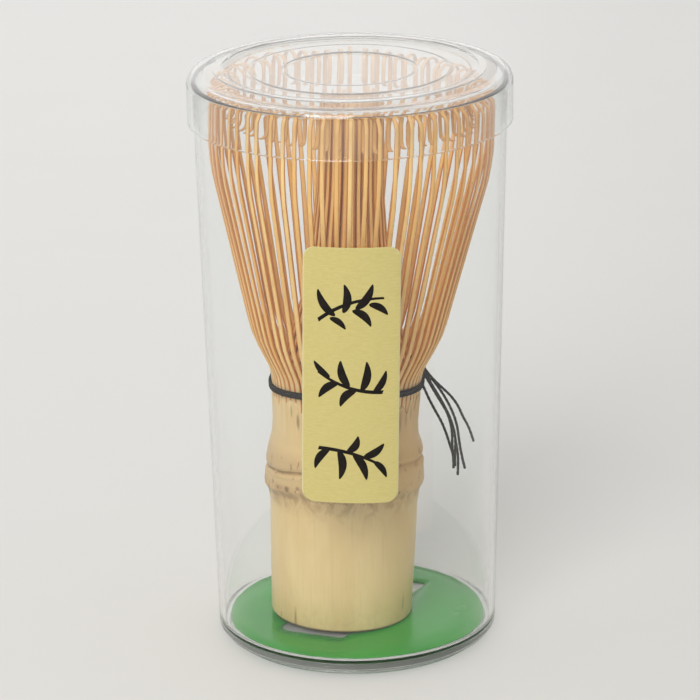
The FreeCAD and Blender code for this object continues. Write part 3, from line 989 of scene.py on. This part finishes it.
# Dark pits, patches and streaks on the culm: degrees round it, height up it and half width in mm,
# depth, and how many times longer than wide.
MARKS = [
    (-136, 31.4, 0.9, 0.8, 1), (-146, 31.0, 0.6, 0.7, 1), (-126, 32.2, 0.7, 0.6, 1),
    (-153, 31.6, 0.6, 0.5, 1), (-122, 29.0, 1.3, 0.35, 1), (-52, 28.4, 1.5, 0.35, 1),
    (-42, 29.4, 1.1, 0.45, 1), (-100, 29.6, 1.6, 0.25, 1), (-70, 29.0, 1.4, 0.25, 1),
    (-159, 36.4, 0.8, 0.45, 1), (-152, 37.6, 0.6, 0.35, 2), (-18, 38.2, 1.2, 0.40, 1),
    (-24, 36.0, 1.0, 0.35, 1), (-130, 46.6, 0.65, 0.70, 4), (-137, 48.5, 0.4, 0.5, 5),
    (-44, 46.5, 0.7, 0.55, 6), (-37, 47.2, 0.5, 0.50, 6), (-30, 47.8, 0.5, 0.40, 5),
    (-131, 1.0, 0.4, 0.8, 10), (-32, 5.0, 0.6, 0.35, 6), (-149, 0.5, 0.4, 0.4, 5),
]
MARK_FOOT_R = 15.15
MARK_NODE_R = 17.0
MARK_CULM_R = 15.8


def mark_place(angle, z):
    """A spot on the culm's skin in the case: at the foot, round the node, or on the plain culm."""
    r = MARK_NODE_R if abs(z - NODE_Z) < 8 else MARK_FOOT_R if z < 10 else MARK_CULM_R
    turn = math.radians(angle)
    return stand(np.array([r * math.cos(turn), r * math.sin(turn), z]))


def bamboo_skin():
    """The culm: waxy straw skin with fine upright fibres, brown stains round the node and the foot,
    pits in the scar, and coarse fibres where it is cut. Painted shade darkens the groove over the
    node, a band under its ridge, the foot's bottom edge and the right side."""
    finish = Finish("bamboo_culm_skin", IOR=1.45)
    height = finish.value("height") * 100.0
    skin = finish.value("skin")
    fibre = finish.noise(finish.place((2400, 2400, 60)), 1.0, 4.0, 0.6)
    streak = finish.noise(finish.place((420, 420, 16)), 1.0, 3.0, 0.55)
    cloud = finish.noise(finish.place((90, 90, 45)), 1.0, 4.0, 0.55, 0.4)
    stain = finish.noise(finish.place((300, 300, 240)), 1.0, 5.0, 0.65, 1.2)
    fleck = finish.noise(finish.place((1300, 1300, 420)), 1.0, 3.0, 0.6)

    def band(start, full, fade, end):
        """1 between two heights over the node, fading below and above them."""
        return height.step(NODE_Z + start, NODE_Z + full) * height.step(NODE_Z + end, NODE_Z + fade)

    node = band(-4.5, -1.8, 5.5, 8.5)
    right = finish.spot("X").step(-0.002, 0.012) * finish.spot("Y").step(0.002, -0.004)
    colour = finish.layers(
        (0.760, 0.550, 0.255),
        (cloud.step(0.32, 0.70), (0.840, 0.645, 0.330)),
        (streak.step(0.52, 0.80) * 0.12, (0.600, 0.420, 0.195)),
        (fibre.step(0.52, 0.75) * 0.25, (0.540, 0.375, 0.170)),
        (band(3.5, 6.5, 8.0, SPLIT_Z - NODE_Z) * cloud.step(0.30, 0.62) * 0.55,
         (0.580, 0.390, 0.190)),
        (band(-5.5, -2.6, -1.0, 2.0) * stain.step(0.40, 0.60) * 0.75, (0.420, 0.235, 0.100)),
        # Painted shade: the groove above the node is darkened to stand for its depth, patchy with
        # the stain noise.
        (band(3.8, 4.2, 4.4, 4.9) * stain.step(0.22, 0.48) * 0.95, (0.200, 0.100, 0.040)),
        # Painted shadow: a dark band just under the node's ridge, where its ledge shades the culm.
        (band(-3.4, -2.7, -2.4, -1.7) * stain.step(0.36, 0.54) * 0.80, (0.270, 0.140, 0.055)),
        (band(-9.0, -3.5, -3.0, -2.0) * stain.step(0.42, 0.66) * 0.30, (0.500, 0.320, 0.140)),
        (band(-5.5, -2.0, 6.0, 9.5) * 0.54, (0.520, 0.350, 0.175)),
        # Painted shade: the right side (+X) is darker and browner; from the node up it is darker
        # still.
        (right * 0.45, (0.710, 0.480, 0.185)),
        (right * height.step(NODE_Z - 4, NODE_Z + 6) * 0.55, (0.630, 0.370, 0.140)),
        *((finish.near(mark_place(angle, z), size, long) * depth, (0.210, 0.100, 0.042))
          for angle, z, size, depth, long in MARKS),
        # Painted shade: a dark line along the foot's bottom edge, where it stands on the card.
        (height.step(0.6, 0.2) * 0.8, (0.260, 0.150, 0.065)),
        (node * fleck.step(0.60, 0.70) * 0.80, (0.200, 0.095, 0.040)),
        (height.step(9.0, 0.0) * stain.step(0.42, 0.68) * 0.30, (0.500, 0.345, 0.160)),
        (height.step(SPLIT_Z - 6.0, SPLIT_Z + 3.0) * streak.step(0.35, 0.62) * 0.55,
         (0.540, 0.320, 0.130)),
    )
    cut = finish.mix(fleck.step(0.40, 0.62), (0.560, 0.390, 0.205), (0.250, 0.140, 0.065))
    relief = fibre * 0.4 + streak * 0.08 + stain * node * 0.9
    return finish.wear(Base_Color=finish.mix(skin, cut, colour), Roughness=fibre * 0.14 + 0.36,
                       Coat_Weight=skin * (1 - node) * 0.12,
                       Normal=finish.bump(relief, 0.22, 0.0002))


def bamboo_strips():
    """The tines: shaved bamboo, each with a tone of its own, browner on the split sides as painted
    shade between the tines, and paler at the root."""
    finish = Finish("shaved_bamboo_tines", IOR=1.45)
    tone, flank, along = finish.value("tone"), finish.value("flank"), finish.value("along")
    fibre = finish.noise(finish.place((2600, 2600, 90)), 1.0, 3.0, 0.6)
    cloud = finish.noise(finish.place((160, 160, 60)), 1.0, 3.0)
    root = along.step(0.14, 0.07) * flank.step(0.60, 0.10)
    colour = finish.layers((0.880, 0.480, 0.130),
                           (tone, (0.980, 0.660, 0.260)),
                           (cloud.step(0.4, 0.7) * 0.30, (0.700, 0.360, 0.100)),
                           (fibre.step(0.50, 0.75) * 0.30, (0.500, 0.250, 0.090)),
                           # Painted shade: the split sides are darkened to stand for the shade
                           # between the tines.
                           (flank.step(0.20, 0.62) * 0.90, (0.640, 0.235, 0.042)),
                           (along.step(0.74, 0.86) * 0.35, (0.520, 0.270, 0.085)),
                           (root * 0.8, (0.720, 0.545, 0.300)))
    return finish.wear(Base_Color=colour, Roughness=fibre * 0.15 + 0.42,
                       Normal=finish.bump(fibre, 0.15, 0.0001))


def black_thread():
    """Dyed cotton: near black with a brown cast and a hairy tooth."""
    finish = Finish("black_cotton_thread", IOR=1.35, Specular_IOR_Level=0.2)
    tooth = finish.noise(finish.place(), 3200.0, 3.0)
    colour = finish.mix(tooth.step(0.35, 0.75), (0.004, 0.003, 0.003), (0.016, 0.013, 0.011))
    return finish.wear(Base_Color=colour, Roughness=tooth * 0.2 + 0.62,
                       Normal=finish.bump(tooth, 0.4, 0.0001))


def dress(pieces, material):
    for piece in pieces:
        piece.data.materials.clear()
        piece.data.materials.append(material)


strands = [hang_strand(i + 1, route) for i, (length, route) in enumerate(STRANDS)]
dress([clear_tube(), clear_lid()], clear_plastic())
dress([floor_card()], green_paper())
dress([gold_label()], gold_paper())
dress([ink_sprigs()], black_ink())
dress([culm()], bamboo_skin())
dress(whisk_head(), bamboo_strips())
dress(thread_pieces() + strands, black_thread())


# ---- the studio, in metres ----
TABLE_HALF = 3.0
SKY_COLOUR = (1.0, 0.99, 0.975, 1)
SKY_LEVEL = 0.525
SKY_BACK = 0.27
SKY_ABOVE = 0.14


def table_top():
    """A pale paper sweep under the case, with painted light making it paler to the back and painted
    shade making it a little darker on the right.
    """
    mesh = bpy.data.meshes.new("table_top")
    corners = [(x * TABLE_HALF, y * TABLE_HALF, 0) for x, y in ((-1, -1), (1, -1), (1, 1), (-1, 1))]
    mesh.from_pydata(corners, [], [(0, 1, 2, 3)])
    table = bpy.data.objects.new("table_top", mesh)
    scene.collection.objects.link(table)
    finish = Finish("pale_paper", IOR=1.3)
    tooth = finish.noise(finish.place(), 30.0, 3.0)
    colour = finish.layers((0.710, 0.710, 0.695),
                           # Painted light: the sweep is paler to the back.
                           (finish.spot("Y").step(-0.15, 0.70), (0.950, 0.950, 0.940)),
                           # Painted shade: the sweep is a little darker on the right.
                           (finish.spot("X").step(0.0, 0.12) * 0.08, (0.10, 0.10, 0.09)),
                           (tooth.step(0.3, 0.7) * 0.02, (0.60, 0.60, 0.58)))
    dress([table], finish.wear(Base_Color=colour, Roughness=tooth * 0.1 + 0.65))


def soft_light(name, place, aim, size, watts, colour=(1, 1, 1)):
    """A square soft light at a place, turned to its aim."""
    data = bpy.data.lights.new(name, "AREA")
    data.shape = "SQUARE"
    data.size = size
    data.energy = watts
    data.color = colour
    lamp = bpy.data.objects.new(name, data)
    scene.collection.objects.link(lamp)
    ahead = unit(np.array(aim, float) - np.array(place, float))
    right = unit(np.cross(ahead, (0, 0, 1)))
    up = np.cross(right, ahead)
    turn = Matrix(np.stack([right, up, -ahead], 1).tolist()).to_4x4()
    lamp.matrix_world = Matrix.Translation(place) @ turn


def room():
    """The room's own light: pale above and behind the case, greyer behind the camera."""
    world = bpy.data.worlds.new("room")
    world.use_nodes = True
    scene.world = world
    nodes, links = world.node_tree.nodes, world.node_tree.links
    spot = nodes.new("ShaderNodeTexCoord")
    split = nodes.new("ShaderNodeSeparateXYZ")
    back, above = nodes.new("ShaderNodeMath"), nodes.new("ShaderNodeMath")
    for node, slope in ((back, SKY_BACK), (above, SKY_ABOVE)):
        node.operation = "MULTIPLY_ADD"
        node.inputs[1].default_value = slope
    back.inputs[2].default_value = SKY_LEVEL
    sky = nodes["Background"]
    sky.inputs["Color"].default_value = SKY_COLOUR
    links.new(spot.outputs["Generated"], split.inputs[0])
    links.new(split.outputs["Y"], back.inputs[0])
    links.new(split.outputs["Z"], above.inputs[0])
    links.new(back.outputs[0], above.inputs[2])
    links.new(above.outputs[0], sky.inputs["Strength"])


table_top()
room()
soft_light("window_light", place=(-0.36, -1.1, 1.08), aim=(0, 0, 0.06), size=0.8, watts=15.6,
           colour=(1.0, 0.985, 0.965))
soft_light("wall_light", place=(-0.3, 1.9, 0.95), aim=(0, 0, 0.1), size=1.3, watts=1.6)
